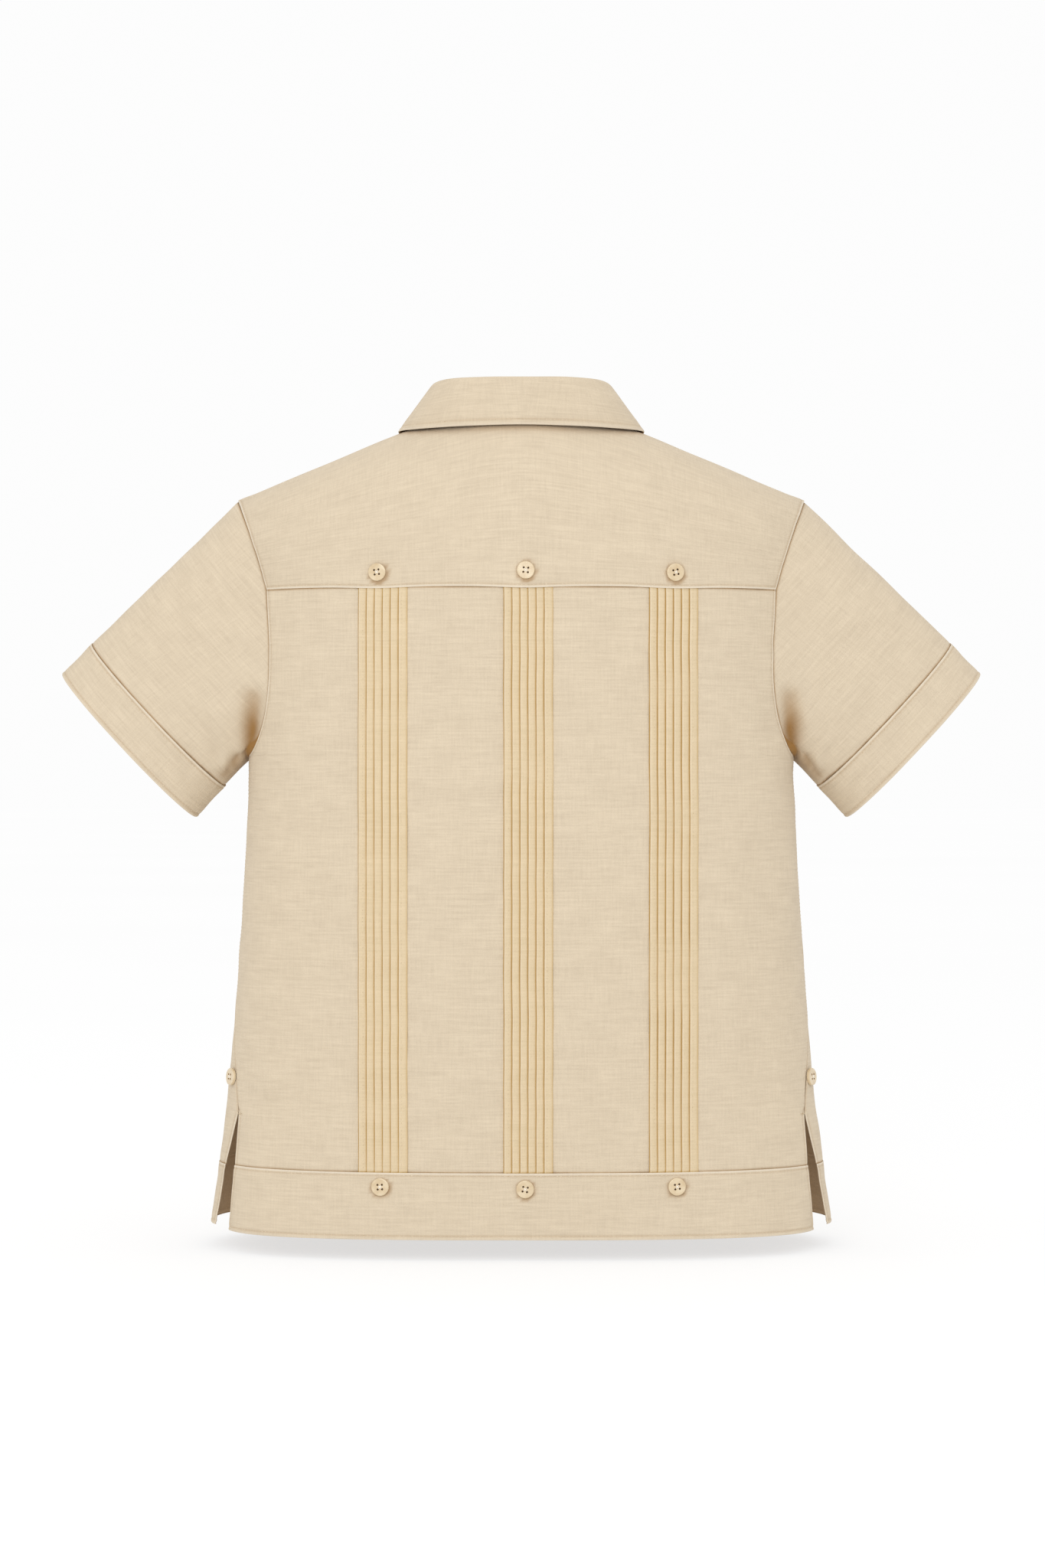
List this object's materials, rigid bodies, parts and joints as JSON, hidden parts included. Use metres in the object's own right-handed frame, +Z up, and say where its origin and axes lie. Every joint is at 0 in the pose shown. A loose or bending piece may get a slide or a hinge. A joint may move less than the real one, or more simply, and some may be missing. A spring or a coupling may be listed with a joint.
{
  "type": "guayabera shirt",
  "caption": "Short-sleeved guayabera shirt, filled out as worn, with a folded collar, tucked bands down the back, a hem band and open side vents.",
  "frame": {"origin": "middle of the neck opening, at the height where the shoulders meet the neck, where a wearer's shoulders hold the shirt", "axes": "+Z up; -Y is the wearer's front and +Y the back; +X is the wearer's left"},
  "size_m": [0.613, 0.194, 0.5575],
  "materials": {
    "linen": "plain-weave linen and cotton, matt, fine slubs, ecru",
    "tucked_linen": "the same linen pressed in tucks, slightly yellower",
    "resin": "cream four-hole button, satin gloss, raised rim"
  },
  "bodies": {
    "root": {"back": "linen", "yoke": "linen", "front_left": "linen", "front_right": "linen", "front_band": "linen", "hem_band_back": "linen", "hem_band_left": "linen", "hem_band_right": "linen", "sleeve_left": "linen", "sleeve_right": "linen", "sleeve_band_left": "linen", "sleeve_band_right": "linen", "collar_stand": "linen", "collar": "linen", "tuck_band_left": "tucked_linen", "tuck_band_middle": "tucked_linen", "tuck_band_right": "tucked_linen", "button_yoke_left": "resin", "button_yoke_middle": "resin", "button_yoke_right": "resin", "button_hem_left": "resin", "button_hem_middle": "resin", "button_hem_right": "resin", "button_side_left": "resin", "button_side_right": "resin", "button_front_1": "resin", "button_front_2": "resin", "button_front_3": "resin", "button_front_4": "resin", "button_front_5": "resin", "button_front_6": "resin"}
  },
  "joints": []
}
